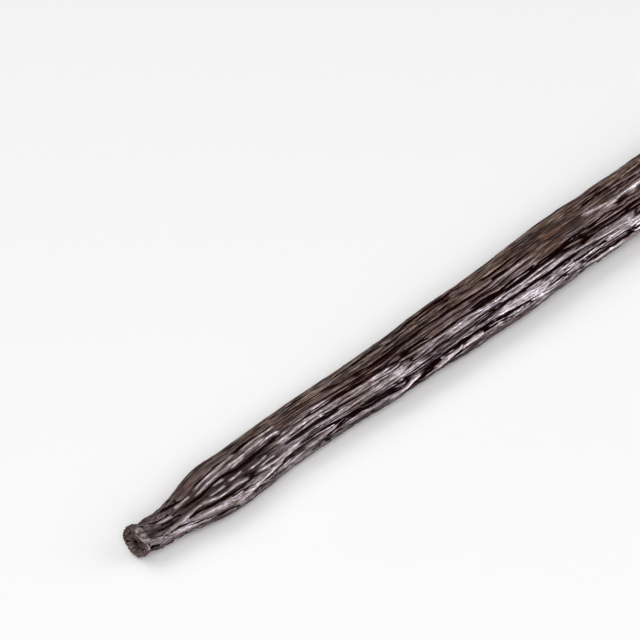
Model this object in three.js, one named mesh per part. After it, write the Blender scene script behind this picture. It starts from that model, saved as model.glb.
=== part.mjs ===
import * as THREE from 'three';
import { mergeVertices } from 'three/addons/utils/BufferGeometryUtils.js';

// A cured vanilla pod lying on a flat surface, in millimetres with +Z up.
// It runs along X, with the scar of its stem at -X and its blossom end at +X.
// The origin is on the surface, under the middle of the pod's bounding box.

// Places along the pod are distances from the stem end. A turn is an angle round the pod in
// degrees: 0 on the +Y side, 90 on top, 180 on the -Y side and 270 underneath.
const podLength = 160;
const roundSteps = 68;
const stationStep = 2.35;

// Half widths, and the stretches over which one passes into the next.
const neckHalf = 2.05;
const shoulderHalf = 4.1;
const bellyHalf = 5.3;
const beakHalf = 1.6;
const shoulderRise = [3.8, 14.4];
const bellyRise = [22, 102];
const beakFall = [118, 156];

// The pod has sunk flat between its round ends.
const flattening = 0.28;
const flatStart = [3, 18];
const flatEnd = [145, 158];

// Stem end: a flared rim round a dished scar, with a crease behind the rim.
const rimFlare = 0.26;
const rimLength = 1.9;
const scarDepth = 0.45;
const rimRound = 0.3;
const creasePlace = 1.2;
const creaseWidth = 0.35;
const creaseDepth = 0.16;

// Blossom end: a small round knob behind a slight waist.
const knobLength = 1.4;
const waistPlace = 156.6;
const waistWidth = 1.1;
const waistDepth = 0.25;

// How it lies: it rests on the shoulder and the belly, arched a little between them,
// with the neck bent sideways and the beak bent sideways and lifted.
const restStart = 14;
const restEnd = 130;
const sunkBy = 0.17;
const archHeight = 0.45;
const archSpan = [21, 120];
const neckBend = 0.65;
const neckBendLength = 4;
const beakLift = 1.2;
const beakBend = 3;
const beakBendSpan = [95, 160];

// Puts the bounding box over the origin.
const forwardShift = 0;
const sideShift = -0.12;

// Slight sideways sways of the pod: place, reach and size.
const sways = [
  { at: 25.5, reach: 11, by: 0.8 },
  { at: 66, reach: 20, by: -0.55 },
  { at: 97, reach: 10, by: -0.35 },
];

// Broad unevenness: lobes round the pod, and how many degrees each turns in a millimetre.
const lobes = [
  { count: 2, twist: 5, start: 60, height: 0.1 },
  { count: 3, twist: -8, start: 0, height: 0.08 },
  { count: 1, twist: 17, start: 200, height: 0.05 },
  { count: 5, twist: 3, start: 110, height: 0.06 },
];

// The rim of the scar is no true circle.
const rimLobes = [
  { count: 2, start: -141, height: 0.19 },
  { count: 3, start: -118, height: 0.04 },
  { count: 4, start: 115, height: 0.1 },
];
const rimLobesEnd = [0.8, 3];

// Deep furrows of the shrunken skin: where each starts and ends, its turn at both ends,
// how far it bows between them in degrees, and its depth.
const deepFurrows = [
  { from: 4, to: 64, turns: [58, 52], bow: 3, depth: 0.45 },
  { from: 5, to: 27, turns: [92, 78], bow: -5, depth: 0.42 },
  { from: 22, to: 76, turns: [78, 92], bow: 3, depth: 0.28 },
  { from: 3, to: 23, turns: [104, 104], bow: 9, depth: 0.45 },
  { from: 17, to: 106, turns: [105, 131], bow: -1, depth: 0.46 },
  { from: 11, to: 41, turns: [133, 131], bow: -5, depth: 0.36 },
  { from: 5, to: 50, turns: [151, 162], bow: -6, depth: 0.46 },
  { from: 8, to: 24, turns: [184, 151], bow: 6, depth: 0.45 },
  { from: 24, to: 35, turns: [188, 162], bow: 0, depth: 0.3 },
  { from: 39, to: 72, turns: [194, 172], bow: -21, depth: 0.55 },
  { from: 48, to: 61, turns: [184, 160], bow: 0, depth: 0.34 },
  { from: 54, to: 84, turns: [147, 143], bow: -4, depth: 0.42 },
  { from: 61, to: 83, turns: [126, 132], bow: 0, depth: 0.28 },
  { from: 70, to: 112, turns: [181, 170], bow: -2, depth: 0.4 },
  { from: 84, to: 124, turns: [98, 116], bow: 5, depth: 0.36 },
  { from: 18, to: 38, turns: [56, 82], bow: 2, depth: 0.26 },
  { from: 30, to: 48, turns: [96, 96], bow: 0, depth: 0.24 },
  { from: 3, to: 9, turns: [76, 117], bow: 2, depth: 0.35 },
];
const furrowWidth = 0.44;
const furrowLimit = 0.55;

// Shallower furrows between them, all the way round and along the pod.
const fineFurrows = {
  seed: 4127,
  count: 72,
  from: [2, 118],
  length: [22, 62],
  drift: 13,
  bow: 6,
  depth: [0.14, 0.36],
};

const skinColour = 0x2c1f1a;

// Eases from 0 to 1 between the two ends of a stretch.
function ease(stretch, place) {
  return THREE.MathUtils.smoothstep(place, stretch[0], stretch[1]);
}

// Draws numbers between two limits, the same ones each time for the same seed.
function seededDraws(seed) {
  const modulus = 2147483647;
  let state = seed;
  return (low, high) => {
    state = (state * 16807) % modulus;
    return low + ((high - low) * state) / modulus;
  };
}

function bump(place, centre, reach) {
  return Math.exp(-(((place - centre) / reach) ** 2));
}

function halfWidth(place) {
  const shoulder = (shoulderHalf - neckHalf) * ease(shoulderRise, place);
  const belly = (bellyHalf - shoulderHalf) * ease(bellyRise, place);
  const beak = (bellyHalf - beakHalf) * ease(beakFall, place);
  const rim = rimFlare * (1 - ease([0, rimLength], place));
  const crease = creaseDepth * bump(place, creasePlace, creaseWidth);
  const waist = waistDepth * bump(place, waistPlace, waistWidth);
  return neckHalf + shoulder + belly - beak + rim - crease - waist;
}

function halfThickness(place) {
  const sunk = flattening * (ease(flatStart, place) - ease(flatEnd, place));
  return halfWidth(place) * (1 - sunk);
}

// The line along the pod, without the bend of its neck.
function axis(place) {
  const resting = THREE.MathUtils.clamp(place, restStart, restEnd);
  const archPart = THREE.MathUtils.clamp((place - archSpan[0]) / (archSpan[1] - archSpan[0]), 0, 1);
  const arch = archHeight * Math.sin(Math.PI * archPart) ** 2;
  const lift = beakLift * ease([restEnd, podLength], place);
  const bend = beakBend * ease(beakBendSpan, place) ** 1.5;
  const sway = sways.reduce((sum, each) => sum + each.by * bump(place, each.at, each.reach), 0);
  return new THREE.Vector3(
    place - podLength / 2 + forwardShift,
    sideShift + bend + sway,
    halfThickness(resting) - sunkBy + arch + lift,
  );
}

// The line through the middle of the pod. The neck's bend shifts the sections sideways without
// turning them, so the scar faces along the pod.
function middle(place) {
  const point = axis(place);
  point.y += neckBend * Math.max(0, 1 - place / neckBendLength) ** 2;
  return point;
}

// Directions across the pod at a place: to its side and up through its back.
function across(place) {
  const step = 0.05;
  const along = axis(place + step).sub(axis(place - step)).normalize();
  const side = new THREE.Vector3(0, 0, 1).cross(along).normalize();
  const up = along.clone().cross(side);
  return { side, up };
}

function allFurrows() {
  const draw = seededDraws(fineFurrows.seed);
  const furrows = deepFurrows.map((furrow) => ({ ...furrow }));
  for (let i = 0; i < fineFurrows.count; i += 1) {
    const turn = (360 * i) / fineFurrows.count + draw(-4, 4);
    const from = draw(...fineFurrows.from);
    const drift = draw(-fineFurrows.drift, fineFurrows.drift);
    furrows.push({
      from,
      to: Math.min(from + draw(...fineFurrows.length), podLength - 4),
      turns: [turn, turn + drift],
      bow: draw(-fineFurrows.bow, fineFurrows.bow),
      depth: draw(...fineFurrows.depth),
    });
  }
  return furrows;
}

// How deep one furrow is at a point of the skin.
function furrowDepth(furrow, place, turn) {
  const part = (place - furrow.from) / (furrow.to - furrow.from);
  if (part <= 0 || part >= 1) {
    return 0;
  }
  const [startTurn, endTurn] = furrow.turns;
  const centre = startTurn + (endTurn - startTurn) * part + furrow.bow * 4 * part * (1 - part);
  const apart = THREE.MathUtils.euclideanModulo(turn - centre + 180, 360) - 180;
  const radius = (halfWidth(place) + halfThickness(place)) / 2;
  const width = furrowWidth * (0.4 + (0.6 * radius) / bellyHalf);
  const distance = THREE.MathUtils.degToRad(apart) * radius;
  const fade = ease([0, 0.2], part) * (1 - ease([0.8, 1], part));
  return furrow.depth * fade * bump(distance, 0, width);
}

// Height of the skin over the smooth pod: lobes less furrows, fading out at both ends.
function relief(furrows, place, turn) {
  let height = 0;
  for (const lobe of lobes) {
    const phase = lobe.count * turn + lobe.twist * place + lobe.start;
    height += lobe.height * Math.sin(THREE.MathUtils.degToRad(phase));
  }
  let depth = 0;
  for (const furrow of furrows) {
    depth += furrowDepth(furrow, place, turn);
  }
  const furrowed = furrowLimit * (1 - Math.exp(-depth / furrowLimit));
  const body = ease([0.5, 5], place) * (1 - ease([153, podLength], place));
  let rim = 0;
  for (const lobe of rimLobes) {
    rim += lobe.height * Math.sin(THREE.MathUtils.degToRad(lobe.count * turn + lobe.start));
  }
  return (height - furrowed) * body + rim * (1 - ease(rimLobesEnd, place));
}

// Outline of a sleeve of radius 1 with closed ends: share of the half width, and place.
function sleeveOutline() {
  const outline = [];
  for (const share of [0, 0.3, 0.55, 0.72]) {
    outline.push(new THREE.Vector2(share, scarDepth * (1 - (share / 0.8) ** 2)));
  }
  const roundingSteps = 3;
  for (let i = 0; i < roundingSteps; i += 1) {
    const angle = (Math.PI / 2) * (i / roundingSteps);
    outline.push(new THREE.Vector2(0.84 + 0.16 * Math.sin(angle), rimRound * (1 - Math.cos(angle))));
  }
  for (const place of [rimRound, 0.6, 0.9, creasePlace, 1.55, 2.0, 2.7, 3.6]) {
    outline.push(new THREE.Vector2(1, place));
  }
  const bodyStart = 4.6;
  const bodyEnd = podLength - knobLength;
  const stations = Math.round((bodyEnd - bodyStart) / stationStep);
  for (let i = 0; i <= stations; i += 1) {
    outline.push(new THREE.Vector2(1, bodyStart + ((bodyEnd - bodyStart) * i) / stations));
  }
  const knobSteps = 4;
  for (let i = 1; i <= knobSteps; i += 1) {
    const angle = (Math.PI / 2) * (i / knobSteps);
    const share = i === knobSteps ? 0 : Math.cos(angle);
    outline.push(new THREE.Vector2(share, bodyEnd + knobLength * Math.sin(angle)));
  }
  return outline;
}

// One closed skin: shared corners are merged and the slivers at the two poles left out.
function closedSkin(geometry) {
  geometry.deleteAttribute('normal');
  geometry.deleteAttribute('uv');
  const merged = mergeVertices(geometry, 1e-4);
  const corners = merged.index.array;
  const kept = [];
  for (let i = 0; i < corners.length; i += 3) {
    const [a, b, c] = corners.slice(i, i + 3);
    if (a !== b && b !== c && c !== a) {
      kept.push(a, b, c);
    }
  }
  merged.setIndex(kept);
  return merged;
}

function podGeometry() {
  const furrows = allFurrows();
  const geometry = closedSkin(new THREE.LatheGeometry(sleeveOutline(), roundSteps));
  const points = geometry.attributes.position;
  for (let i = 0; i < points.count; i += 1) {
    const share = Math.hypot(points.getX(i), points.getZ(i));
    const place = points.getY(i);
    const angle = Math.atan2(points.getX(i), points.getZ(i));
    const height = relief(furrows, place, THREE.MathUtils.radToDeg(angle));
    const { side, up } = across(place);
    const point = middle(place)
      .addScaledVector(side, share * (halfWidth(place) + height) * Math.cos(angle))
      .addScaledVector(up, share * (halfThickness(place) + height) * Math.sin(angle));
    points.setXYZ(i, point.x, point.y, Math.max(0, point.z));
  }
  geometry.computeVertexNormals();
  return geometry;
}

function vanillaPod() {
  const skin = new THREE.MeshStandardMaterial({ color: skinColour, roughness: 0.42, metalness: 0 });
  const pod = new THREE.Mesh(podGeometry(), skin);
  pod.name = 'vanilla_pod';
  return pod;
}

const model = new THREE.Group();
model.add(vanillaPod());

export default model;
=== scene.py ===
import math
from types import SimpleNamespace

import bmesh
import bpy
import numpy as np
from mathutils import Matrix, Vector, noise


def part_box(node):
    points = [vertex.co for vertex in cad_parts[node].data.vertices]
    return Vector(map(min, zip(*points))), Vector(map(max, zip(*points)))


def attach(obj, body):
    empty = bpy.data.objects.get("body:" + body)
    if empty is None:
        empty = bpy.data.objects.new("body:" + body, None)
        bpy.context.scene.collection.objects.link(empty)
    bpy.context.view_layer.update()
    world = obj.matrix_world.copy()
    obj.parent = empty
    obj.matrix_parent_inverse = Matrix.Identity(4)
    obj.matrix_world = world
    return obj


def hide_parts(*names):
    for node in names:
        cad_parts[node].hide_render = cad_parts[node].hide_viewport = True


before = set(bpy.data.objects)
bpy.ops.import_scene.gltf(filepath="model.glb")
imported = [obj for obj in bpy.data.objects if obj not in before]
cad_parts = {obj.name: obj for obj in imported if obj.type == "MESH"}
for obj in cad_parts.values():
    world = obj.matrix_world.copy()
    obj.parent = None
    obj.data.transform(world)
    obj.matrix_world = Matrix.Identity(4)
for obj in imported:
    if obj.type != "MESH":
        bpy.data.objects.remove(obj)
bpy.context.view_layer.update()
mm = 0.001

# lengths in millimetres, angles in degrees; the camera looks down on the pod, from beyond its stem end and
# from its right side
camera = {
    "stemPlace": (-80, -0.12, 3.7),
    "azimuth": 46,
    "elevation": 40,
    "distance": 307,  # from the lens to the stem scar, along the view
    "stemPixel": (137, 541),  # where the stem scar falls in the frame
    "imageSize": 640,
    "focalPixels": 2537,
    "sensor": 36,
    "nearest": 10,
    "farthest": 20000,
}


def makeCamera():
    turn = math.radians(camera["azimuth"])
    tilt = math.radians(camera["elevation"])
    right = Vector((math.cos(turn), -math.sin(turn), 0))
    back = Vector((-math.sin(turn) * math.cos(tilt), -math.cos(turn) * math.cos(tilt), math.sin(tilt)))
    up = back.cross(right)
    half = camera["imageSize"] / 2
    perPixel = camera["distance"] / camera["focalPixels"]
    toRight = (camera["stemPixel"][0] - half) * perPixel
    toTop = (half - camera["stemPixel"][1]) * perPixel
    place = Vector(camera["stemPlace"]) + back * camera["distance"] - right * toRight - up * toTop
    data = bpy.data.cameras.new("camera")
    data.sensor_width = camera["sensor"]
    data.lens = camera["focalPixels"] / camera["imageSize"] * camera["sensor"]
    data.clip_start = camera["nearest"] * mm
    data.clip_end = camera["farthest"] * mm
    holder = bpy.data.objects.new("camera", data)
    bpy.context.scene.collection.objects.link(holder)
    holder.matrix_world = Matrix.Translation(place * mm) @ Matrix((right, up, back)).transposed().to_4x4()
    bpy.context.scene.camera = holder


makeCamera()
print("camera set")

# the pod, in millimetres and degrees: places run along it from its stem end, turns go round it, and 90 is on
# top and 180 on its right side
pod = {
    "length": 160,
    "neckHalf": 2.05,
    "shoulderHalf": 4.1,
    "bellyHalf": 5.3,
    "beakHalf": 1.6,
    "shoulderRise": (3.8, 14.4),
    "bellyRise": (22, 102),
    "beakFall": (118, 156),
    "flattening": 0.28,
    "flatStart": (3, 18),
    "flatEnd": (145, 158),
    "rimFlare": 0.26,
    "rimLength": 1.9,
    "rimRound": 0.3,
    "crease": (1.2, 0.35, 0.16),  # place, width, depth
    "waist": (156.6, 1.1, 0.25),
    "knobLength": 1.4,
    "restSpan": (14, 130),  # the part that lies on the floor
    "sunkBy": 0.17,
    "archHeight": 0.45,
    "archSpan": (21, 120),
    "neckBend": 0.65,
    "neckBendLength": 4,
    "beakLift": 1.2,
    "beakBend": 3,
    "beakBendSpan": (95, 160),
    "beakBendPower": 1.5,
    "sideShift": -0.12,
    "sways": [(25.5, 11, 0.8), (66, 20, -0.55), (97, 10, -0.35)],  # place, reach, by how much
    # lobes round the pod: count, degrees of twist in a millimetre, start, height
    "lobes": [(2, 5, 60, 0.1), (3, -8, 0, 0.08), (1, 17, 200, 0.05), (5, 3, 110, 0.06)],
    "rimLobes": [(2, 0, -141, 0.19), (3, 0, -118, 0.04), (4, 0, 115, 0.1)],
}


def ease(stretch, value):
    # 0 before the stretch, 1 after it and a smooth rise between
    part = np.clip((value - stretch[0]) / (stretch[1] - stretch[0]), 0, 1)
    return part * part * (3 - 2 * part)


def within(band, value):
    # 1 in the band and 0 outside it: where it starts, is full, begins to fade and ends
    return ease(band[:2], value) * (1 - ease(band[2:], value))


def bell(value, centre, reach):
    return np.exp(-(((value - centre) / reach) ** 2))


def atLeast(least, share):
    return least + (1 - least) * share


def halfWidth(place):
    shoulder = (pod["shoulderHalf"] - pod["neckHalf"]) * ease(pod["shoulderRise"], place)
    belly = (pod["bellyHalf"] - pod["shoulderHalf"]) * ease(pod["bellyRise"], place)
    beak = (pod["bellyHalf"] - pod["beakHalf"]) * ease(pod["beakFall"], place)
    rim = pod["rimFlare"] * (1 - ease((0, pod["rimLength"]), place))
    pinched = sum(depth * bell(place, at, width) for at, width, depth in (pod["crease"], pod["waist"]))
    return pod["neckHalf"] + shoulder + belly - beak + rim - pinched


def halfThickness(place):
    sunk = pod["flattening"] * (ease(pod["flatStart"], place) - ease(pod["flatEnd"], place))
    return halfWidth(place) * (1 - sunk)


def meanRadius(place):
    return (halfWidth(place) + halfThickness(place)) / 2


def axis(place):
    resting = np.clip(place, *pod["restSpan"])
    start, end = pod["archSpan"]
    archPart = np.clip((place - start) / (end - start), 0, 1)
    arch = pod["archHeight"] * np.sin(math.pi * archPart) ** 2
    lift = pod["beakLift"] * ease((pod["restSpan"][1], pod["length"]), place)
    bend = pod["beakBend"] * ease(pod["beakBendSpan"], place) ** pod["beakBendPower"]
    sway = sum(by * bell(place, at, reach) for at, reach, by in pod["sways"])
    height = halfThickness(resting) - pod["sunkBy"] + arch + lift
    return np.stack([place - pod["length"] / 2, pod["sideShift"] + bend + sway, height], axis=-1)


def middle(place):
    # the neck's bend shifts the sections sideways and doesn't turn them, so the scar faces along the pod
    coords = axis(place)
    coords[..., 1] += pod["neckBend"] * np.maximum(0, 1 - place / pod["neckBendLength"]) ** 2
    return coords


def across(place):
    step = 0.05
    along = axis(place + step) - axis(place - step)
    along /= np.linalg.norm(along, axis=-1, keepdims=True)
    side = np.cross((0, 0, 1), along)
    side /= np.linalg.norm(side, axis=-1, keepdims=True)
    return side, np.cross(along, side)


def turnsApart(turn, other):
    # between -180 and 180
    return (turn - other + 180) % 360 - 180


def lobeHeights(lobes, place, turn):
    waves = [(height, count * turn + twist * place + start) for count, twist, start, height in lobes]
    return sum(height * np.sin(np.radians(degrees)) for height, degrees in waves)


# the sleeve that becomes the skin: rows of points along it, and steps round it
sleeve = {
    "roundSteps": 216,
    "crowding": 24,  # degrees by which the points crowd towards the crowded turn
    "crowdedTurn": 115,
    "scarShare": 0.84,  # share of the half width that the scar's dish takes, inside the rim
    "scarDepth": 0.45,
    "scarRows": 16,
    "rimRows": 8,
    "neckRows": 26,
    "finePart": (5, 100),  # the stretch with the narrow rows
    "fineRows": 290,
    "bodyRows": 110,
    "knobRows": 10,
    "mergeWithin": 1e-5,
    "sideShare": 0.98,  # points nearer the middle than this belong to the closed ends
    "patternRadius": 4.6,  # patterns follow the pod's length, so they narrow with it towards its ends
}


def sleeveRows():
    # share of the half width and place of each row of the closed sleeve, from the scar to the knob
    rows = []
    dish = sleeve["scarShare"]
    for i in range(sleeve["scarRows"]):
        share = dish * i / sleeve["scarRows"]
        rows.append((share, sleeve["scarDepth"] * (1 - (share / dish) ** 2)))
    for i in range(sleeve["rimRows"]):
        angle = math.pi / 2 * i / sleeve["rimRows"]
        rows.append((dish + (1 - dish) * math.sin(angle), pod["rimRound"] * (1 - math.cos(angle))))
    fineStart, fineEnd = sleeve["finePart"]
    bodyEnd = pod["length"] - pod["knobLength"]
    stretches = (
        (pod["rimRound"], fineStart, sleeve["neckRows"]),
        (fineStart, fineEnd, sleeve["fineRows"]),
        (fineEnd, bodyEnd, sleeve["bodyRows"]),
    )
    for start, end, steps in stretches:
        rows += [(1, start + (end - start) * i / steps) for i in range(steps)]
    for i in range(sleeve["knobRows"]):
        angle = math.pi / 2 * i / sleeve["knobRows"]
        rows.append((math.cos(angle), bodyEnd + pod["knobLength"] * math.sin(angle)))
    return [*rows, (0, pod["length"])]


def makeSleeve():
    # a flat sheet rolled up round X into a sleeve of radius 1, its seam underneath, and closed at both ends
    rows = sleeveRows()
    lengthSteps = len(rows) - 1
    bm = bmesh.new()
    bmesh.ops.create_grid(bm, x_segments=lengthSteps, y_segments=sleeve["roundSteps"], size=1)
    for vert in bm.verts:
        share, place = rows[round((vert.co.x + 1) / 2 * lengthSteps)]
        crowded = sleeve["crowding"] * math.sin(math.pi * vert.co.y)
        turn = math.radians(sleeve["crowdedTurn"] + 180 * vert.co.y - crowded)
        vert.co = (place, share * math.cos(turn), share * math.sin(turn))
    bmesh.ops.remove_doubles(bm, verts=bm.verts, dist=sleeve["mergeWithin"])
    bmesh.ops.recalc_face_normals(bm, faces=bm.faces)
    mesh = bpy.data.meshes.new("podSkin")
    bm.to_mesh(mesh)
    bm.free()
    return mesh


def patternPoints(place, share, angle):
    # the pod straightened out and of an even width, in which its patterns lie
    radius = sleeve["patternRadius"] * share
    return np.stack([place, radius * np.cos(angle), radius * np.sin(angle)], axis=-1)


# parts of the skin: where each starts, is full, begins to fade and ends, along the pod and round it
onward = (170, 180)  # past the pod's end, for a part that doesn't fade
always = (-2, -1, *onward)
allRound = (-2, -1, 361, 362)
skinParts = {
    "beside": ((-2, -1, 20, 27), (60, 66, 198, 206)),  # beside the neck, where the winding lines are
    "plainNeck": ((-2, -1, 6, 18), (60, 66, 198, 206)),
    "mauveNeck": ((-2, -1, 5, 14), (60, 66, 198, 206)),
    "knotted": ((-2, -1, 5, 14), allRound),
    "notched": ((-2, -1, 0.7, 1.6), allRound),
    "rimLobed": ((-2, -1, 0.8, 3), allRound),
    "body": ((0.5, 5, 153, 160), allRound),
    "strip": ((2, 7, 14, 30), (52, 60, 74, 84)),  # a smooth strip with few wrinkles
    "olive": ((3, 20, *onward), (30, 50, 70, 90)),  # the top, with fine straight wrinkles
    "lightTop": ((28, 42, *onward), (10, 25, 60, 72)),
    "bareTop": ((28, 42, *onward), (10, 25, 70, 84)),
    "besideTop": (always, (74, 86, 100, 116)),
    "cracked": (always, (98, 118, 285, 320)),  # where the creases between the islands are bold
    "rightSide": (always, (108, 130, 285, 320)),
    "lowRight": (always, (170, 188, 285, 320)),
}
leastCracked = 0.25
stripAtNeck = 0.8
oliveLostToStrip = 0.6


def partShares(place, turn):
    shares = {}
    for name, (along, around) in skinParts.items():
        shares[name] = within(along, place) * within(around, turn % 360)
    shares["bold"] = atLeast(leastCracked, shares["cracked"])
    shares["strip"] = np.maximum(shares["strip"], stripAtNeck * shares["plainNeck"])
    shares["olive"] *= 1 - oliveLostToStrip * shares["strip"]
    return shares


def readSleeve(mesh):
    # arrays with a value for each point: its place, its share of the half width, its turn, and how much it
    # belongs to each part of the skin
    flat = np.zeros(len(mesh.vertices) * 3)
    mesh.vertices.foreach_get("co", flat)
    place, y, z = flat.reshape(-1, 3).T
    share = np.hypot(y, z)
    angle = np.arctan2(z, y)
    turn = np.degrees(angle)
    points = SimpleNamespace(place=place, share=share, angle=angle, turn=turn, **partShares(place, turn))
    points.spun = patternPoints(place, share, angle)
    points.side = share > sleeve["sideShare"]
    return points


# deep furrows: from, to, turn at both ends, bow at the middle, depth
deepFurrows = [
    (4, 64, 58, 52, 3, 0.45),
    (5, 27, 92, 78, -5, 0.42),
    (22, 76, 78, 92, 3, 0.28),
    (3, 23, 104, 104, 9, 0.45),
    (17, 106, 105, 131, -1, 0.46),
    (11, 41, 133, 131, -5, 0.36),
    (5, 50, 151, 162, -6, 0.46),
    (8, 24, 184, 151, 6, 0.45),
    (24, 35, 188, 162, 0, 0.3),
    (39, 72, 194, 172, -21, 0.55),
    (48, 61, 184, 160, 0, 0.34),
    (54, 84, 147, 143, -4, 0.42),
    (61, 83, 126, 132, 0, 0.28),
    (70, 112, 181, 170, -2, 0.4),
    (84, 124, 98, 116, 5, 0.36),
    (18, 38, 56, 82, 2, 0.26),
    (30, 48, 96, 96, 0, 0.24),
    (3, 9, 76, 117, 2, 0.35),
]
# crests that stand out, between and beside the deep furrows: from, to, turn at both ends, bow, height
crests = [
    (22, 44, 116, 114, 0, 0.2),
    (27, 40, 123, 119, 0, 0.14),
    (25, 33, 167, 161, 0, 0.2),
    (33, 45, 139, 137, -2, 0.15),
    (40, 47.5, 184, 163, 0, 0.28),
    (48.5, 55, 181, 167, 0, 0.26),
    (45, 60, 119, 122, 0, 0.18),
    (55, 77, 121, 127, 2, 0.2),
    (60, 72, 156, 166, 0, 0.24),
    (66, 80, 130, 133, 1, 0.18),
    (75, 92, 134, 153, 0, 0.26),
    (78, 92, 181, 187, 0, 0.26),
    (63, 74, 94, 99, 0, 0.14),
    (83, 88, 92, 104, 0, 0.24),
    (87, 97, 103, 99, 0, 0.22),
    (95, 118, 150, 158, 3, 0.2),
    (100, 128, 118, 128, -3, 0.2),
]
# furrows and crests of each kind: half width, waver in degrees, share of the depth that is a sharp core, and
# the depth or height at which a line counts in full
lineKinds = {
    "deep": {"width": 0.3, "wander": 1.3, "core": 0.6, "full": 0.3},
    "shallow": {"width": 0.3, "wander": 1.3, "core": 0.5, "full": 0.3},
    "wrinkle": {"width": 0.14, "wander": 0.7, "core": 0.5, "full": 0.17},
    "crest": {"width": 0.3, "wander": 1, "core": 0, "full": 0.3},
}
# ridges and gullies that wind: from, to, the turns they pass evenly spaced, half width, height or depth
ridges = [
    (3.2, 9.2, (151, 149, 146, 141, 135, 134.5), 0.26, 0.17),
    (8.6, 16.5, (134, 136, 139.5, 139, 138, 138.5, 140), 0.24, 0.16),
    (17.6, 26, (142, 144, 146, 147, 147), 0.3, 0.18),
    (9.2, 18, (94, 91, 90, 87, 83, 81, 81), 0.24, 0.15),
    (18, 25, (83, 84, 84.5), 0.18, 0.12),
    (14.6, 22.5, (95, 95, 95, 94, 92), 0.22, 0.14),
    (9, 13.5, (106, 102, 100), 0.15, 0.1),
    (6, 8.5, (95, 97), 0.2, 0.12),
    (2.8, 5.4, (106, 108, 112), 0.24, 0.14),
    (10.2, 12.8, (127, 127), 0.18, 0.1),
    (13.6, 16, (122, 120), 0.16, 0.14),
    (17, 20.5, (126, 125), 0.16, 0.14),
    (18.5, 21.5, (136, 134), 0.14, 0.12),
    (15.2, 18.2, (101, 100), 0.16, 0.12),
    (20.8, 24.5, (100, 99, 100), 0.16, 0.14),
    (11.7, 13.3, (112, 112), 0.18, 0.12),
    (22.8, 26.5, (119, 119), 0.2, 0.14),
    (12.4, 23, (182, 177, 170, 166, 163, 160, 155, 157), 0.42, 0.2),
    (7.5, 12, (158, 161, 166), 0.3, 0.12),
    (6.8, 10.5, (160, 162, 164), 0.25, 0.1),
    (4, 7.5, (172, 176, 182), 0.25, 0.1),
    (49, 53.5, (177, 173, 170), 0.25, 0.16),
    (54, 58.5, (174, 170, 167), 0.25, 0.16),
    (43, 46.5, (180, 172, 164), 0.24, 0.16),
    (83.2, 88.6, (92, 96, 103), 0.3, 0.11),
    (87, 99, (103.5, 103, 102, 100.5, 99), 0.36, 0.1),
]
ridgeFull = 0.12  # the height at which a ridge counts in full
gullies = [
    (4.4, 7.6, (66, 72, 80, 88), 0.24, 0.25),
    (8.8, 25.5, (85, 84, 82, 78, 75.5, 75, 78, 81), 0.22, 0.35),
    (5.6, 25.5, (104, 114, 113.5, 109, 106, 109, 111, 109, 106, 107, 112), 0.27, 0.4),
    (10.3, 14.8, (134, 133, 131, 132), 0.11, 0.2),
    (15, 19.5, (129, 128, 127, 127), 0.12, 0.2),
    (16.5, 24.5, (137, 138, 141, 141), 0.11, 0.2),
    (6.2, 14.5, (154, 147, 148, 150, 151, 149), 0.28, 0.4),
    (14, 20, (150, 147, 146, 149), 0.2, 0.35),
    (19.5, 26, (149, 155, 158, 157, 156), 0.27, 0.4),
    (13, 25, (187, 180, 176, 171, 168, 164, 161), 0.27, 0.4),
    (10, 14, (181, 184, 186, 188), 0.35, 0.3),
    (3, 6.5, (118, 122, 126), 0.2, 0.25),
    (2, 6, (132, 136, 138), 0.2, 0.2),
    (1.8, 5.5, (92, 98), 0.25, 0.2),
    (3.5, 8, (160, 163, 168), 0.2, 0.2),
    (6, 10, (172, 176, 182), 0.2, 0.2),
    (0.5, 2.2, (186, 182), 0.85, 0.15),
    (23, 34, (131, 131, 131, 130, 127), 0.2, 0.3),
    (24, 30, (158, 159, 160, 158), 0.26, 0.35),
    (31.5, 36.5, (156, 156, 158), 0.2, 0.3),
    (37, 47, (157, 156, 156, 157), 0.22, 0.3),
    (26, 45, (111, 109, 108, 107, 106, 106, 106), 0.12, 0.25),
    (38, 45, (91, 90, 92), 0.22, 0.25),
    (45, 51, (108, 107, 110), 0.26, 0.3),
    (42, 51, (192, 182, 172, 166, 163, 162), 0.6, 0.4),
    (50, 60, (161, 158, 158, 161, 165), 0.4, 0.4),
    (60, 68, (165, 166, 170), 0.28, 0.35),
    (52.5, 57.5, (178, 172, 167), 0.2, 0.3),
    (61, 84, (143, 141, 141, 142, 143, 144), 0.26, 0.3),
    (57.5, 72, (110, 112, 114, 114, 113), 0.22, 0.3),
    (64, 73, (88, 90, 88), 0.2, 0.25),
    (76, 84, (154, 155, 156), 0.22, 0.3),
    (78.5, 92, (175, 177, 177, 174), 0.28, 0.35),
    (71, 82, (116, 118, 119), 0.12, 0.25),
    (84, 95, (72, 72, 71), 0.24, 0.25),
    (87, 95, (106, 108, 105), 0.24, 0.3),
]
gullyFull = 0.25
shallowFurrows = {
    "seed": 4127,
    "count": 72,
    "from": (2, 118),
    "length": (22, 62),
    "drift": 13,
    "bow": 6,
    "depth": (0.14, 0.36),
}
# hair-fine wrinkles between the furrows, drawn the same way
wrinkles = {
    "seed": 977,
    "count": 1100,
    "from": (-6, 150),
    "length": (6, 30),
    "drift": 6,
    "bow": 3,
    "depth": (0.05, 0.2),
}
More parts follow.
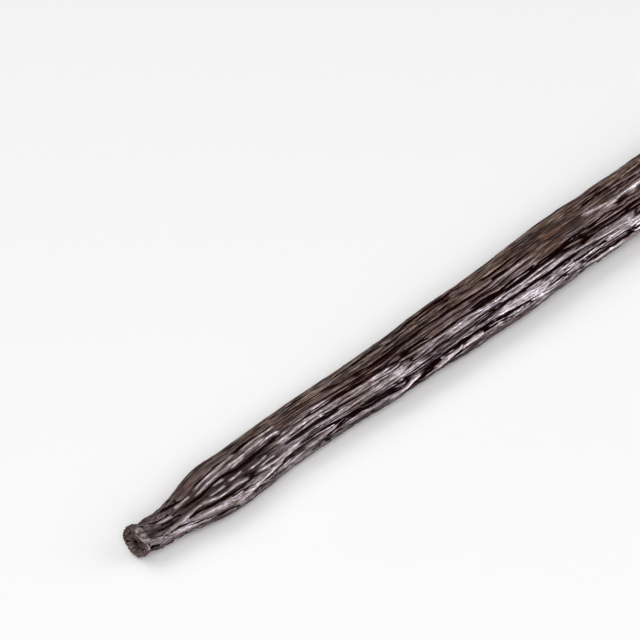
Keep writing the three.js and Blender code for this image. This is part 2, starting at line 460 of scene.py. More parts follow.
# how the lines are drawn
lineShape = {
    "jitter": 4,  # degrees by which a drawn line may leave its even place round the pod
    "stopBefore": 4,  # drawn lines end this far from the pod's end
    "narrowest": 0.4,  # a furrow's width on a pod of no width, as a share of its width at the belly
    "waves": [(1, 2.9, 2.4), (0.5, 1.15, 1.7)],  # size, length along the pod, shift from line to line
    "fade": 0.2,  # share of its length in which a furrow deepens
    "coreWidth": 0.35,
    "bedWidth": 0.62,
    "windingWaves": [(0.9, 0.9, 1.7)],
    "windingFade": 0.12,
    "swelling": 0.2,  # by how much a winding line's width changes, and how fast
    "swellingPace": 1.3,
}


def seededDraws(state):
    # a fixed sequence of even draws, the same in each run
    modulus = 2147483647
    multiplier = 16807

    def draw(low, high):
        nonlocal state
        state = (state * multiplier) % modulus
        return low + (high - low) * state / modulus

    return draw


def drawnFurrows(family):
    draw = seededDraws(family["seed"])
    furrows = []
    for i in range(family["count"]):
        turn = 360 * i / family["count"] + draw(-lineShape["jitter"], lineShape["jitter"])
        start = draw(*family["from"])
        drift = draw(-family["drift"], family["drift"])
        end = min(start + draw(*family["length"]), pod["length"] - lineShape["stopBefore"])
        bow = draw(-family["bow"], family["bow"])
        furrows.append((start, end, turn, turn + drift, bow, draw(*family["depth"])))
    return furrows


def waver(waves, place, number):
    return sum(size * np.sin(place / length + number * shift) for size, length, shift in waves)


def alongLine(points, start, end):
    # the points that lie between both ends of a line, their places, and their share of the way along it
    inside = np.nonzero((points.place > start) & (points.place < end))[0]
    here = points.place[inside]
    return inside, here, (here - start) / (end - start)


def furrowDepths(furrows, kindName, points):
    # the summed depth of these furrows at each point, and how near it is to the bed of one of them
    kind = lineKinds[kindName]
    radius = meanRadius(points.place)
    widths = kind["width"] * atLeast(lineShape["narrowest"], radius / pod["bellyHalf"])
    fading = lineShape["fade"]
    total = np.zeros_like(radius)
    beds = np.zeros_like(radius)
    for number, (start, end, startTurn, endTurn, bow, depth) in enumerate(furrows):
        inside, here, part = alongLine(points, start, end)
        width = widths[inside]
        centre = startTurn + (endTurn - startTurn) * part + bow * 4 * part * (1 - part)
        centre += kind["wander"] * waver(lineShape["waves"], here, number)
        distance = np.radians(turnsApart(points.turn[inside], centre)) * radius[inside]
        fade = within((0, fading, 1 - fading, 1), part)
        sharp = np.exp(-np.abs(distance) / (lineShape["coreWidth"] * width))
        profile = (1 - kind["core"]) * bell(distance, 0, width) + kind["core"] * sharp
        total[inside] += depth * fade * profile
        bed = min(1, depth / kind["full"]) * fade * bell(distance, 0, lineShape["bedWidth"] * width)
        beds[inside] = np.maximum(beds[inside], bed)
    return total, beds


def windingHeights(lines, full, points):
    # the height of these winding lines at each point, and how near it is to the middle of one of them
    radius = meanRadius(points.place)
    fading = lineShape["windingFade"]
    swelling = lineShape["swelling"]
    heights = np.zeros_like(radius)
    shares = np.zeros_like(radius)
    for number, (start, end, turns, width, height) in enumerate(lines):
        inside, here, part = alongLine(points, start, end)
        centre = np.interp(part, np.linspace(0, 1, len(turns)), turns)
        centre += waver(lineShape["windingWaves"], here, number)
        distance = np.radians(turnsApart(points.turn[inside], centre)) * radius[inside]
        swollen = 1 - swelling + swelling * np.sin(here * lineShape["swellingPace"] + number)
        share = within((0, fading, 1 - fading, 1), part) * bell(distance, 0, width * swollen)
        heights[inside] = np.maximum(heights[inside], height * share)
        shares[inside] = np.maximum(shares[inside], share * min(1, height / full))
    return heights, shares


def spotShares(spots, points):
    # how near each point is to the middle of one of these spots
    radius = meanRadius(points.place)
    shares = np.zeros_like(radius)
    for spotPlace, spotTurn, reachAlong, reachRound, strength in spots:
        distance = np.radians(turnsApart(points.turn, spotTurn)) * radius
        share = strength * bell(points.place, spotPlace, reachAlong) * bell(distance, 0, reachRound)
        shares = np.maximum(shares, share)
    return shares


# noise over the skin: pace along and across the pod, shift, octaves and height
grains = {
    "pebbles": {"pace": (0.8, 2, 2), "shift": 0, "octaves": 3, "height": 0.07},
    "lumps": {"pace": (0.16, 0.6, 0.6), "shift": 13, "octaves": 2, "height": 0.1},
    "knots": {"pace": (1.4, 2, 2), "shift": 29, "octaves": 4, "height": 0.16},  # on the neck
    "notches": {"pace": 2.4, "shift": 0, "octaves": 2, "height": 0.14},  # in the rim
    "scarLumps": {"pace": 0.6, "shift": 7, "octaves": 3, "height": 0.3},
}
grainFalloff = 0.9  # how fast the octaves get fainter, and finer
grainFiner = 2
# skin between the furrows: long islands parted by creases, from a stretched cell pattern
islands = [
    {"length": 15, "width": 1.25, "crease": 0.13, "depth": 0.36, "waver": 0.5, "shift": 3},
    {"length": 4.5, "width": 0.6, "crease": 0.16, "depth": 0.18, "waver": 0.3, "shift": 41},
]
islandWaver = {"size": (5.0, 2.2, 2.2), "octaves": 2}
crossing = (0.45, 0.85)  # how much across the pod a crease runs where it starts to fade, and is gone


def grainNoise(coords, octaves):
    return np.array([noise.fractal(Vector(c), grainFalloff, grainFiner, octaves) for c in coords])


def grainOf(name, points):
    kind = grains[name]
    return grainNoise(points.spun * kind["pace"] + kind["shift"], kind["octaves"])


def islandCreases(kind, points):
    # depth of the creases between the islands; their edges waver by a slow noise
    angle = points.angle
    spun = patternPoints(points.place, 1, angle)
    slow = spun / islandWaver["size"] + kind["shift"]
    aside = kind["waver"] * grainNoise(slow, islandWaver["octaves"]) / kind["width"]
    cells = spun / (kind["length"], kind["width"], kind["width"]) + kind["shift"]
    cells[:, 1] += aside * np.sin(angle)
    cells[:, 2] -= aside * np.cos(angle)
    found = [noise.voronoi(Vector(c)) for c in cells]
    nearest = np.array([distances[:2] for distances, _ in found])
    between = np.array([tuple(centres[1] - centres[0]) for _, centres in found])
    # a crease that runs across the pod would be as wide as an island is long, so it fades out
    steep = ease(crossing, np.abs(between[:, 0]) / np.linalg.norm(between, axis=1))
    return np.exp(-(nearest[:, 1] - nearest[:, 0]) / kind["crease"]) * (1 - steep)


# dents and lumps behind the rim: place, turn, reach along the pod, reach round it, strength
neckDents = [
    (0.9, 98, 0.2, 0.35, 0.6),
    (0.8, 118, 0.2, 0.5, 0.6),
    (0.6, 138, 0.2, 0.5, 0.7),
    (0.5, 160, 0.25, 0.45, 0.8),
    (0.9, 185, 0.55, 0.85, 1),
    (1.8, 121, 0.35, 0.35, 0.35),
    (3.3, 124, 0.5, 0.25, 0.5),
    (2.2, 98, 0.4, 0.22, 0.4),
    (1.5, 147, 0.4, 0.14, 0.7),
    (3.2, 172, 0.3, 0.2, 0.5),
]
neckLumps = [
    (1.4, 160, 0.25, 0.3, 0.7),
    (2.2, 164, 0.4, 0.35, 0.6),
    (2.3, 143, 0.5, 0.2, 0.5),
    (1.5, 106, 0.3, 0.3, 0.5),
    (2.7, 110, 0.4, 0.2, 0.5),
]
neckDentDepth = 0.16
neckLumpHeight = 0.12
furrowLimit = 0.55  # furrows that meet are never deeper than this
# shares that one mark takes from another, or adds to it
relief = {
    "lumpTop": 0.6,  # how much a lump behind the rim counts as a crest
    "shallowToTops": 0.7,  # what the shallow furrows lose to the tops
    "shallowToNeck": 0.7,  # and to the winding lines beside the neck
    "deepToNeck": 0.5,
    "wrinkles": (0.75, 0.35, -0.3),  # how deep they are, and what the olive top and the cracked side add
    "smallToStrip": 0.7,
    "smallToTops": 0.8,
    "leastUneven": 0.3,  # outside the cracked side
    "fineOnEnds": 0.35,  # how much of all this stays at the pod's ends
}


def cutFurrows(points):
    # all the lines: their depth or height, and how near each point is to a bed or a top
    deep, points.deepBeds = furrowDepths(deepFurrows, "deep", points)
    shallow, points.shallowBeds = furrowDepths(drawnFurrows(shallowFurrows), "shallow", points)
    points.fine, points.fineBeds = furrowDepths(drawnFurrows(wrinkles), "wrinkle", points)
    raised, tops = furrowDepths(crests, "crest", points)
    winding, windingTops = windingHeights(ridges, ridgeFull, points)
    gully, points.gullyBeds = windingHeights(gullies, gullyFull, points)
    points.dents = spotShares(neckDents, points) * points.side
    points.lumped = spotShares(neckLumps, points) * points.side
    windingTops = np.maximum(windingTops, relief["lumpTop"] * points.lumped) * (1 - points.dents)
    tops = np.maximum(tops, windingTops)
    points.raised = np.maximum(raised, winding)
    points.windingTops, points.tops = windingTops, tops
    # beside the neck the winding lines take the place of most of the others
    shallow *= (1 - relief["shallowToTops"] * tops) * (1 - relief["shallowToNeck"] * points.beside)
    deep = np.maximum(deep * (1 - relief["deepToNeck"] * points.beside), gully)
    points.furrowed = furrowLimit * (1 - np.exp(-(deep + shallow) / furrowLimit))


def roughenSkin(points):
    # between the furrows: wrinkles, creases between islands, pebbles and lumps
    bold, strip, tops = points.bold, points.strip, points.tops
    points.wide, points.narrow = [islandCreases(kind, points) for kind in islands]
    points.pebbles = grainOf("pebbles", points)
    points.lumps = grainOf("lumps", points)
    points.knots = grainOf("knots", points) * points.knotted * (1 - tops)
    creases = bold * (islands[0]["depth"] * points.wide + islands[1]["depth"] * points.narrow)
    depth, onOlive, onBold = relief["wrinkles"]
    small = points.fine * (depth + onOlive * points.olive + onBold * bold) + creases
    points.small = small * (1 - relief["smallToStrip"] * strip) * (1 - relief["smallToTops"] * tops)
    uneven = grains["pebbles"]["height"] * points.pebbles + grains["lumps"]["height"] * points.lumps
    points.uneven = uneven * atLeast(relief["leastUneven"], bold) * (1 - strip) + points.raised


def reliefHeights(points):
    # how far the skin lies above the smooth pod
    place, turn, body = points.place, points.turn, points.body
    heights = (lobeHeights(pod["lobes"], place, turn) - points.furrowed) * body
    heights += (points.uneven - points.small) * atLeast(relief["fineOnEnds"], body)
    heights += lobeHeights(pod["rimLobes"], place, turn) * points.rimLobed
    heights += grains["knots"]["height"] * points.knots
    heights += neckLumpHeight * points.lumped - neckDentDepth * points.dents
    return heights + grains["notches"]["height"] * grainOf("notches", points) * points.notched


def skinCoords(points):
    place, share, angle = points.place, points.share, points.angle
    heights = reliefHeights(points)
    side, up = across(place)
    coords = middle(place)
    coords += side * (share * (halfWidth(place) + heights) * np.cos(angle))[:, None]
    coords += up * (share * (halfThickness(place) + heights) * np.sin(angle))[:, None]
    coords[:, 0] += points.setBack
    # the skin rests on the floor and stays inside the solid's box
    coords[:, 2] = np.maximum(coords[:, 2], 0)
    low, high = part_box("vanilla_pod")
    return np.clip(coords * mm, tuple(low), tuple(high))


# painted shade in the skin's hollows: how dark each kind is painted, 1 being as dark as the beds of the deep
# furrows
hollowShade = {
    "shallow": 0.85,
    "wide": 0.8,  # creases between the large islands
    "narrow": 0.6,  # and between the small ones
    "fine": 0.72,
    "dents": 0.9,
    "knots": 0.75,
    "knotDepths": (0.18, 0.5),  # the depths between the knots where it begins and is full
    "bands": [(129, 13, 0.3), (172, 11, 0.15)],  # turns where the creases are darker, reach, how much
    "deepToNeck": 0.85,  # what is lost beside the neck, on the light top, on the strip and to the tops
    "shallowToNeck": 0.7,
    "toLightTop": 0.5,
    "toStrip": 0.6,
    "toTops": 0.9,
    "ragged": 0.3,  # how much the pebbles break up the gullies
}


def shadeHollows(points):
    # this share is painted shade: darkness laid into furrow beds, island creases, fine lines, gullies, dents
    # and the hollows between the knots
    deep = points.deepBeds * (1 - hollowShade["deepToNeck"] * points.beside)
    shallow = hollowShade["shallow"] * points.shallowBeds * (1 - hollowShade["shallowToNeck"] * points.beside)
    dark = np.maximum(deep, shallow) * (1 - hollowShade["toLightTop"] * points.lightTop)
    bands = points.bold * (1 + sum(by * bell(points.turn, at, reach) for at, reach, by in hollowShade["bands"]))
    creased = np.maximum(hollowShade["wide"] * points.wide, hollowShade["narrow"] * points.narrow)
    dark = np.maximum(dark, np.minimum(1, bands * creased))
    dark = np.maximum(dark, atLeast(hollowShade["fine"], points.olive) * points.fineBeds)
    gully = points.gullyBeds * (1 + hollowShade["ragged"] * points.pebbles)
    dark = np.maximum(dark * (1 - hollowShade["toStrip"] * points.strip), gully)
    dark = dark * (1 - hollowShade["toTops"] * points.tops)
    dark = np.maximum(dark, hollowShade["dents"] * points.dents)
    betweenKnots = ease(hollowShade["knotDepths"], -points.knots) * points.side
    points.furrow = np.maximum(dark, hollowShade["knots"] * betweenKnots)


# marks on the scar, in its own plane: Y and Z as shares of its half width
scarFace = {
    # both ends, half width, height
    "lips": [
        (-0.18, 0.92, -0.27, 0.88, 0.07, 0.9),
        (0.06, 0.42, -0.12, 0.38, 0.06, 0.7),
        (-0.12, 0.38, -0.54, 0.66, 0.06, 1),
        (-0.54, 0.66, -0.78, 0.58, 0.07, 1),
        (-0.5, 0.86, -0.56, 0.83, 0.06, 0.8),
        (0.49, -0.63, 0.21, -0.73, 0.04, 0.35),
        (0.21, -0.73, -0.14, -0.8, 0.04, 0.35),
        (-0.69, -0.4, -0.49, -0.68, 0.07, 0.5),
    ],
    # place, half width, depth
    "pits": [
        (0.13, -0.23, 0.2, 0.16),
        (-0.1, -0.44, 0.2, 0.09),
        (0.54, -0.08, 0.14, 0.06),
        (-0.33, 0.8, 0.07, 0.12),
    ],
    "setBack": 0.08,  # how far the rest of the rim lies behind its lips
    "setBackEnd": 1.2,  # where along the pod that ends
    "frontEnd": 1,  # lips, pits and lumps lie before this place
    "scarBefore": 5,  # any place between the scar and the other end, which is closed too
    "edge": (0.82, 0.97),  # where the scar's colour ends, as shares of the half width
    "lumpsFrom": (0, 0.3),  # the lumps rise from the rim inwards
    "broken": (0.8, 1.5),  # how whole the lips are, and how much the lumps break them
    # pits are painted darker by their depth, as shade
    "pitDark": 7,  # darkness in a millimetre of depth
    "pitDarkest": 0.95,
}
# the rim's outer edge is dark, except beside the lips
rimEdge = {
    "dark": 0.5,
    "from": (0.76, 0.95),  # share of the half width
    "to": (0.35, 0.7),  # place
    "lipsTurn": 130,
    "fromLips": (60, 100),
}


def nearLine(y, z, line):
    # distance of the points from the straight line between two ends
    startY, startZ, endY, endZ = line
    alongY, alongZ = endY - startY, endZ - startZ
    part = np.clip(((y - startY) * alongY + (z - startZ) * alongZ) / (alongY ** 2 + alongZ ** 2), 0, 1)
    return np.hypot(y - startY - alongY * part, z - startZ - alongZ * part)


def markScar(points):
    # a lumpy dish with raised lips, painted lighter as highlights, and pits painted dark as shade
    place, share, angle = points.place, points.share, points.angle
    front = place < scarFace["frontEnd"]
    scar = (1 - ease(scarFace["edge"], share)) * (place < scarFace["scarBefore"])
    face = 1 - ease((pod["rimRound"], scarFace["setBackEnd"]), place)
    lumps = grainOf("scarLumps", points)
    y, z = share * np.cos(angle), share * np.sin(angle)
    lip = np.zeros_like(share)
    for *lipEnds, width, height in scarFace["lips"]:
        lip = np.maximum(lip, height * bell(nearLine(y, z, lipEnds), 0, width) * front)
    whole, breaking = scarFace["broken"]
    lip *= np.clip(whole + breaking * lumps, 0, 1)
    pit = np.zeros_like(share)
    for pitY, pitZ, width, depth in scarFace["pits"]:
        pit = np.maximum(pit, depth * bell(np.hypot(y - pitY, z - pitZ), 0, width) * front)
    lumpy = grains["scarLumps"]["height"] * lumps * scar * ease(scarFace["lumpsFrom"], 1 - share)
    points.setBack = scarFace["setBack"] * (1 - lip) * face + (pit - lumpy) * front
    fromLips = np.abs(turnsApart(points.turn, rimEdge["lipsTurn"]))
    edge = rimEdge["dark"] * ease(rimEdge["from"], share) * (1 - ease(rimEdge["to"], place))
    edge *= ease(rimEdge["fromLips"], fromLips)
    # pits are painted dark by their depth, as shade
    pitted = np.maximum(np.clip(scarFace["pitDark"] * pit, 0, scarFace["pitDarkest"]), edge * (1 - lip))
    points.lip = lip
    points.scar = scar * (1 - pitted)
    points.furrow = np.maximum(points.furrow * (1 - points.scar), pitted)


# the film of oil covers the skin on one side of this line: places and the turns there
filmEdge = [
    (0, 146), (3.5, 146), (6, 138), (9, 128), (10.5, 104), (12, 84), (18, 88), (23, 106),
    (46, 115), (70, 118), (80, 130), (92, 147), (104, 142), (160, 110),
]
film = {
    "edgeWaver": 14,  # degrees by which the lumps move its edge
    "edgeWidth": (-7, 3),
    "farEdge": (290, 330),
    "least": 0.12,  # how much oil there is outside it
    "lessOnTop": 0.1,
    "leftSide": 0.45,  # and on the left side, up to these turns, thinner past these places
    "leftTurns": (58, 78),
    "leftPlaces": (35, 60),
    "leftThinner": 0.7,
    "lostWhereDim": 0.7,
}
# where the skin is dull, and how much
dullness = {
    "neckTurns": [(60, 0.3), (76, 0.42), (96, 0.62), (108, 1), (144, 1), (156, 0.1)],
    "topPlaces": [(18, 0), (23, 0.6), (27, 0.5), (38, 0.1), (50, 0.36)],
    "lowRight": 0.6,
    "rimEnd": (0.3, 0.8),  # the rim isn't dull
    "onNeck": 0.65,  # and the neck is this much as dull
    "neckEnd": (4, 9),
}
# patches of skin that are duller than what lies round them, and patches painted lighter as sheen: the same
# five values as the dents
dullPatches = [
    (4, 55, 5, 1.3, 0.5),
    (13, 60, 6, 1.5, 0.3),
    (60, 141, 7, 0.9, 0.45),
    (80, 139, 8, 1.1, 0.55),
    (40, 160, 5, 1.1, 0.6),
    (80, 180, 6, 1.2, 0.35),
    (81, 104, 4, 1.3, 0.5),
    (82, 60, 8, 1.6, 0.35),
    (4, 142, 2, 1, 0.4),
    (4, 158, 2.6, 1.2, 0.35),
    (4, 180, 2.6, 1.2, 0.35),
]
# painted sheen: patches made lighter than what lies round them
palePatches = [
    (24, 170, 4.5, 2.8, 0.4),
    (27, 140, 4, 0.9, 0.18),
    (40, 142, 5, 1, 0.12),
]
# how much lighter the crest tops are painted, as highlights, and how mauve the right side and the strip
tints = {
    "tops": 0.68,
    "windingTops": 0.66,
    "topsOnNeck": 0.75,  # tops on the neck are this much as pale
    "neckEnd": (5, 10),
    # the right side's mauve is a painted tint of the cool light's sheen
    "rightSheenTint": 0.55,
    "mauveEnd": (66, 84),  # past here the right side loses this much of its mauve
    "mauveLost": 0.8,
    "mauveStrip": 0.7,
}


def spreadFilm(points):
    # how much oil lies on the skin; dull skin has less of it, and the crest tops get full oil and shine
    place, turn = points.place, points.turn
    around = turn % 360
    dim = points.beside * np.interp(around, *zip(*dullness["neckTurns"]))
    dim = np.maximum(dim, dullness["lowRight"] * points.lowRight)
    dim = np.maximum(dim, np.interp(place, *zip(*dullness["topPlaces"])) * points.besideTop)
    dim = np.maximum(dim, spotShares(dullPatches, points))
    edge = np.interp(place, *zip(*filmEdge)) + film["edgeWaver"] * points.lumps
    covered = ease(film["edgeWidth"], around - edge) * (1 - ease(film["farEdge"], around))
    oil = film["least"] - film["lessOnTop"] * points.bareTop + (1 - film["least"]) * covered
    thinner = 1 - film["leftThinner"] * ease(film["leftPlaces"], place)
    oil = np.maximum(oil, film["leftSide"] * (1 - ease(film["leftTurns"], np.abs(turn))) * thinner)
    points.film = np.maximum(oil * (1 - film["lostWhereDim"] * dim), points.tops)
    onNeck = atLeast(dullness["onNeck"], ease(dullness["neckEnd"], place))
    points.dim = dim * (1 - points.tops) * ease(dullness["rimEnd"], place) * onNeck


def tintSkin(points):
    # where highlights are painted light on the crest tops, scar lips and sheen patches, and where the skin is
    # a greyer brown
    onNeck = atLeast(tints["topsOnNeck"], ease(tints["neckEnd"], points.place))
    pale = np.maximum(tints["tops"] * points.tops, tints["windingTops"] * points.windingTops) * onNeck
    pale = np.maximum(pale, points.lip)
    points.pale = np.maximum(pale, spotShares(palePatches, points) * (1 - points.furrow))
    fading = 1 - tints["mauveLost"] * ease(tints["mauveEnd"], points.place)
    # on the right side the mauve is painted, the tint of the cool light's sheen
    mauve = np.maximum(points.mauveNeck, tints["rightSheenTint"] * points.rightSide * fading)
    points.mauve = np.maximum(mauve, tints["mauveStrip"] * points.strip) * points.side


# the shares that the material reads
attributeNames = ("furrow", "strip", "olive", "scar", "film", "pale", "dim", "mauve")


def addAttribute(mesh, name, kind, values):
    layer = mesh.attributes.new(name, kind, "POINT")
    key = "vector" if kind == "FLOAT_VECTOR" else "value"
    layer.data.foreach_set(key, np.ravel(values).astype(np.float32))


def makePod():
    mesh = makeSleeve()
    points = readSleeve(mesh)
    print("sleeve rolled:", len(mesh.vertices), "points")
    cutFurrows(points)
    print("furrows cut")
    roughenSkin(points)
    shadeHollows(points)
    markScar(points)
    print("skin roughened and scar marked")
    spreadFilm(points)
    tintSkin(points)
    mesh.vertices.foreach_set("co", skinCoords(points).ravel())
    mesh.polygons.foreach_set("use_smooth", np.ones(len(mesh.polygons), bool))
    addAttribute(mesh, "unrolled", "FLOAT_VECTOR", points.spun)
    for name in attributeNames:
        addAttribute(mesh, name, "FLOAT", getattr(points, name))
    mesh.update()
    skin = bpy.data.objects.new("podSkin", mesh)
    bpy.context.scene.collection.objects.link(skin)
    return skin


def linear(hexColour):
    # sRGB hex to the linear values that shaders take
    channels = [int(hexColour[i:i + 2], 16) / 255 for i in (1, 3, 5)]
    return (*[c / 12.92 if c <= 0.04045 else ((c + 0.055) / 1.055) ** 2.4 for c in channels], 1)


def addNode(tree, kind, settings, inputs, output=None):
    # one node with its settings; each input takes a value, a hex colour or the socket that feeds it, and what
    # comes back is the named output, or the first one in use
    node = tree.nodes.new(kind)
    for key, value in settings.items():
        setattr(node, key, value)
    for key, value in inputs.items():
        if isinstance(value, bpy.types.NodeSocket):
            tree.links.new(value, node.inputs[key])
        else:
            node.inputs[key].default_value = linear(value) if isinstance(value, str) else value
    if output:
        return node.outputs[output]
    return next((socket for socket in node.outputs if socket.enabled), None)


skinFinish = {
    "colours": {
        "ridge": "#432b24",
        "warm": "#50321f",
        # near black, laid into the furrows and fine lines as painted shade
        "furrow": "#140505",
        # lighter olive and brown on the top: partly the skin's own tone, partly painted sheen that the light
        # lays along the top
        "olive": "#5d5044",
        "brown": "#664c3d",
        # greyer mauve; on the right side it is painted, the tint of the cool light's sheen
        "mauve": "#443a40",
        # painted sheen: the colour of the light lines along the ridges
        "pale": "#b0978a",
        "scarDark": "#281b1a",
        "scarPale": "#756964",
        # painted highlight: the light colour laid on crest tops, scar lips and sheen patches
        "lip": "#bcacaa",
    },
    # noise patterns: width across the pod in millimetres, how much longer than wide, detail, roughness
    "patterns": {
        "streaks": (1.1, 5, 4, 0.6),
        "patches": (4, 3, 2, 0.5),
        "grain": (0.36, 2.2, 2, 0.6),  # fine pebbling
        "hairs": (0.18, 24, 2, 0.6),  # light lines along the ridges, painted sheen
        "mottles": (0.7, 1, 2, 0.5),
        "flecks": (0.3, 3, 2, 0.5),
        "matt": (0.8, 2.6, 3, 0.5),
        "wear": (2.2, 3, 2, 0.5),
        "waver": (1.6, 3, 2, 0.5),  # moves the hair lines
    },
    # hair lines on the edges of long cells: the same first two values, and how far the lines waver
    "lines": (0.6, 10),
    "waverReach": (0.4, 1.1, 1.1),
    # shares worked out in turn: a range, whose first two values become the last two, or arithmetic
    "shares": {
        "ragged": ("MULTIPLY_ADD", "streaks", 0.3, "furrow"),  # streaks break up the edges of the beds
        "bedMark": ("SMOOTHSTEP", "ragged", 0.53, 0.77, 0, 1),
        "line": ("LINEAR", "lineDistance", 0, 0.16, 1, 0),
        "whole": ("LINEAR", "patches", 0.35, 0.6, 0.3, 1),
        "lined": ("LINEAR", "strip", 0, 1, 0.55, 0.2),
        "wholeLine": ("MULTIPLY", "line", "whole"),
        "lineMark": ("MULTIPLY", "wholeLine", "lined"),
        "beds": ("MAXIMUM", "bedMark", "lineMark"),
        "dark": ("LINEAR", "streaks", 0.4, 0.66, 0, 1),
        "darkMost": ("LINEAR", "olive", 0, 1, 0.4, 0.55),
        "streaked": ("MULTIPLY", "dark", "darkMost"),
        # dark fine lines between the light ones on the top, painted shade
        "combMost": ("LINEAR", "olive", 0, 1, 0, 0.7),
        "combed": ("LINEAR", "hairs", 0.49, 0.38, 0, "combMost"),
        "darker": ("MAXIMUM", "streaked", "combed"),
        "dimmed": ("MULTIPLY_ADD", "dim", 0.58, "darker"),
        # how much of the near-black colour goes in: painted shade in the beds and fine lines, with the darker
        # streaks and dull patches
        "darkness": ("ADD", "beds", "dimmed"),
        "paleMost": ("LINEAR", "olive", 0, 1, 0.42, 1),
        # painted sheen: light lines along the ridges, strongest on the olive top
        "sheenLines": ("LINEAR", "hairs", 0.5, 0.6, 0, "paleMost"),
        "warmth": ("LINEAR", "patches", 0.4, 0.65, 0, 1),
        "greening": ("LINEAR", "warmth", 0, 1, 0.5, 1),
        "olived": ("MULTIPLY", "olive", "greening"),
        "browning": ("LINEAR", "place", 40, 72, 0, 1),
        "mauved": ("MULTIPLY", "mauve", 0.7),
        "mottled": ("LINEAR", "mottles", 0.4, 0.6, 0, 1),
        "flecked": ("LINEAR", "flecks", 0.38, 0.58, 0.25, 1),
        # painted highlight on crest tops, scar lips and sheen patches, broken up by flecks
        "paled": ("MULTIPLY", "pale", "flecked"),
        # the coat of oil, the gloss under it and the roughness; hollows, the scar and dull skin are dry
        "oiled": ("LINEAR", "matt", 0.42, 0.62, 1, 0.13),
        "worn": ("LINEAR", "wear", 0.42, 0.52, 0.17, 1),
        "oil": ("MULTIPLY", "oiled", "worn"),
        "oilSpread": ("MULTIPLY", "oil", "film"),
        "wet": ("MAXIMUM", "oilSpread", "pale"),
        "glossSpread": ("MULTIPLY", "worn", "film"),
        "gloss": ("LINEAR", "glossSpread", 0, 1, 0.12, 0.6),
        "shine": ("LINEAR", "matt", 0.42, 0.68, 0.34, 0.5),
        "unlit": ("MAXIMUM", "beds", "scar"),
        "dull": ("MULTIPLY", "dim", 0.72),
        "dry": ("MAXIMUM", "unlit", "dull"),
        "coat": ("LINEAR", "dry", 0, 1, "wet", 0),
        "specular": ("LINEAR", "dry", 0, 1, "gloss", 0),
        "roughness": ("LINEAR", "dry", 0, 1, "shine", 0.85),
    },
    # colours that are mixed: the share of the second one over the first
    "mixes": {
        "ridgeSkin": ("warmth", "ridge", "warm"),
        # mauve mixed in: on the right side a painted tint of the cool light's sheen
        "greySkin": ("mauved", "ridgeSkin", "mauve"),
        # the lighter top, partly painted sheen along it
        "topSkin": ("browning", "olive", "brown"),
        "brownSkin": ("olived", "greySkin", "topSkin"),
        # painted sheen lines in the light colour
        "sheenLinedSkin": ("sheenLines", "brownSkin", "pale"),
        # painted shade: the near-black colour over the furrow beds and fine lines
        "furrowedSkin": ("darkness", "sheenLinedSkin", "furrow"),
        "scarSkin": ("mottled", "scarDark", "scarPale"),
        "scarredSkin": ("scar", "furrowedSkin", "scarSkin"),
        # painted highlight over crest tops, scar lips and sheen patches
        "wholeSkin": ("paled", "scarredSkin", "lip"),
    },
    "lineDepth": 0.09,
    "grainDepth": 0.18,
    "grainStrength": 0.9,
    "ior": 1.5,
    "coatRoughness": 0.34,
}


def skinPatterns(tree):
    # the pod's own attributes and the patterns that run along its skin
    unrolled = addNode(tree, "ShaderNodeAttribute", {"attribute_name": "unrolled"}, {}, "Vector")
    shares = {"place": addNode(tree, "ShaderNodeSeparateXYZ", {}, {"Vector": unrolled})}
    for name in attributeNames:
        shares[name] = addNode(tree, "ShaderNodeAttribute", {"attribute_name": name}, {}, "Fac")
    alongPod = {}
    sizes = {**skinFinish["patterns"], "lines": skinFinish["lines"]}
    for name, (width, ratio, *_) in sizes.items():
        scale = (1 / (width * ratio), 1 / width, 1 / width)
        alongPod[name] = addNode(tree, "ShaderNodeMapping", {}, {"Vector": unrolled, "Scale": scale})
    for name, (*_, detail, rough) in skinFinish["patterns"].items():
        inputs = {"Vector": alongPod[name], "Scale": 1, "Detail": detail, "Roughness": rough}
        shares[name] = addNode(tree, "ShaderNodeTexNoise", {}, inputs)
    slow = shares["waver"].node.outputs["Color"]
    inputs = {0: slow, 1: skinFinish["waverReach"], 2: alongPod["lines"]}
    wavered = addNode(tree, "ShaderNodeVectorMath", {"operation": "MULTIPLY_ADD"}, inputs)
    inputs = {"Vector": wavered, "Scale": 1, "Randomness": 1}
    shares["lineDistance"] = addNode(tree, "ShaderNodeTexVoronoi", {"feature": "DISTANCE_TO_EDGE"}, inputs)
    return shares


def skinShares(tree):
    shares = skinPatterns(tree)
    for name, (operation, *sources) in skinFinish["shares"].items():
        inputs = {i: shares.get(source, source) for i, source in enumerate(sources)}
        if operation in ("LINEAR", "SMOOTHSTEP"):
            settings = {"interpolation_type": operation}
            shares[name] = addNode(tree, "ShaderNodeMapRange", settings, inputs)
        else:
            shares[name] = addNode(tree, "ShaderNodeMath", {"operation": operation}, inputs)
    return shares


def skinColour(tree, shares):
    colours = dict(skinFinish["colours"])
    for name, (share, below, above) in skinFinish["mixes"].items():
        inputs = {"Factor": shares[share], 6: colours[below], 7: colours[above]}
        colours[name] = addNode(tree, "ShaderNodeMix", {"data_type": "RGBA"}, inputs)
    return colours["wholeSkin"]


def skinBump(tree, shares):
    inputs = {"Height": shares["lineMark"], "Strength": 1, "Distance": skinFinish["lineDepth"] * mm}
    pressed = addNode(tree, "ShaderNodeBump", {"invert": True}, inputs)
    inputs = {"Height": shares["grain"], "Normal": pressed}
    inputs["Strength"] = skinFinish["grainStrength"]
    inputs["Distance"] = skinFinish["grainDepth"] * mm
    return addNode(tree, "ShaderNodeBump", {}, inputs)


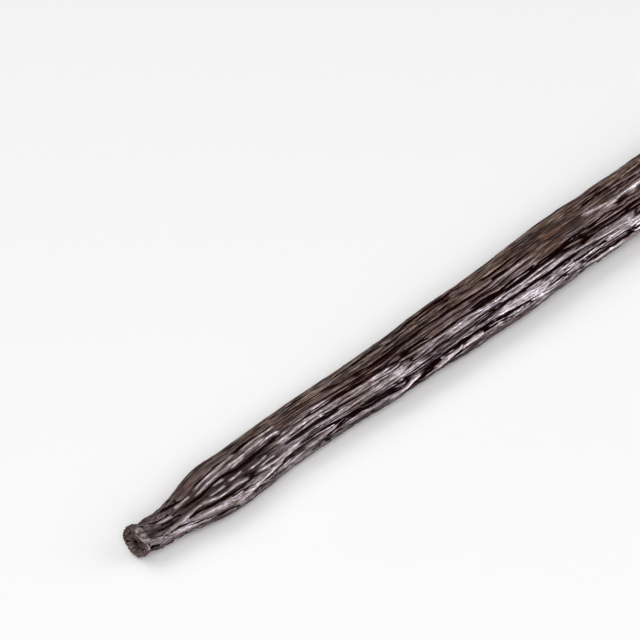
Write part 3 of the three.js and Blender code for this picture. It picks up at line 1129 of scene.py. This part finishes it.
def curedPodSkin():
    # cured vanilla skin: oily leathery plant skin, dark brown on the ridges, with an uneven film of oil that
    # gives broken satin highlights; its furrows are painted near black as shade, and its crest tops and scar
    # lips are painted lighter as highlights
    material = bpy.data.materials.new("curedPodSkin")
    material.use_nodes = True
    tree = material.node_tree
    tree.nodes.clear()
    shares = skinShares(tree)
    normal = skinBump(tree, shares)
    surface = addNode(tree, "ShaderNodeBsdfPrincipled", {}, {
        "Base Color": skinColour(tree, shares),
        "Roughness": shares["roughness"],
        "Specular IOR Level": shares["specular"],
        "IOR": skinFinish["ior"],
        "Normal": normal,
        "Coat Normal": normal,
        "Coat Weight": shares["coat"],
        "Coat Roughness": skinFinish["coatRoughness"],
    })
    addNode(tree, "ShaderNodeOutputMaterial", {"is_active_output": True}, {"Surface": surface})
    return material


skin = makePod()
skin.data.materials.append(curedPodSkin())
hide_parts("vanilla_pod")
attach(skin, "root")
print("pod made")

# lengths in metres here
studio = {
    "floorSize": 8,
    "floorColour": "#f4f3f3",
    "floorRoughness": 0.7,
    "world": "#bdbdbd",
    "worldStrength": 0.07,
    # softboxes that face the pod: place, width and height, watts, colour, and whether they light the matt
    # surfaces and the gloss
    "softboxes": {
        "overhead": ((-0.32, 0.42, 1.15), (1.3, 1.3), 9, "#ffffff", True, True),
        "besideCamera": ((-0.75, -0.72, 0.95), (0.8, 0.8), 14, "#ffffff", True, True),
        "rightFill": ((0.6, -0.9, 0.9), (1.2, 1.2), 7, "#ffffff", True, False),
        "rightPanel": ((0.83, -0.84, 0.86), (1.7, 1.3), 82, "#f6f2ff", False, True),
        "rightGlint": ((0.6, -0.84, 0.44), (0.8, 0.5), 15, "#f6f2ff", False, True),
    },
}


def whiteTable():
    # matt white tabletop, without any gloss
    material = bpy.data.materials.new("whiteTable")
    material.use_nodes = True
    surface = material.node_tree.nodes["Principled BSDF"]
    surface.inputs["Base Color"].default_value = linear(studio["floorColour"])
    surface.inputs["Roughness"].default_value = studio["floorRoughness"]
    surface.inputs["Specular IOR Level"].default_value = 0
    return material


def makeFloor():
    bm = bmesh.new()
    bmesh.ops.create_grid(bm, x_segments=1, y_segments=1, size=studio["floorSize"] / 2)
    mesh = bpy.data.meshes.new("floor")
    bm.to_mesh(mesh)
    bm.free()
    mesh.materials.append(whiteTable())
    floor = bpy.data.objects.new("floor", mesh)
    bpy.context.scene.collection.objects.link(floor)


def addSoftbox(name, place, size, power, colour, diffuse, gloss):
    data = bpy.data.lights.new(name, "AREA")
    data.shape = "RECTANGLE"
    data.size, data.size_y = size
    data.energy = power
    data.color = linear(colour)[:3]
    light = bpy.data.objects.new(name, data)
    light.location = place
    light.rotation_mode = "QUATERNION"
    light.rotation_quaternion = Vector(place).to_track_quat("Z", "Y")
    light.visible_camera = False
    light.visible_diffuse = diffuse
    light.visible_glossy = gloss
    bpy.context.scene.collection.objects.link(light)


def lightWorld():
    world = bpy.data.worlds.new("world")
    world.use_nodes = True
    background = world.node_tree.nodes["Background"]
    background.inputs["Color"].default_value = linear(studio["world"])
    background.inputs["Strength"].default_value = studio["worldStrength"]
    bpy.context.scene.world = world


makeFloor()
for name, values in studio["softboxes"].items():
    addSoftbox(name, *values)
lightWorld()
bpy.context.scene.view_settings.view_transform = "Standard"
print("floor and lights set")
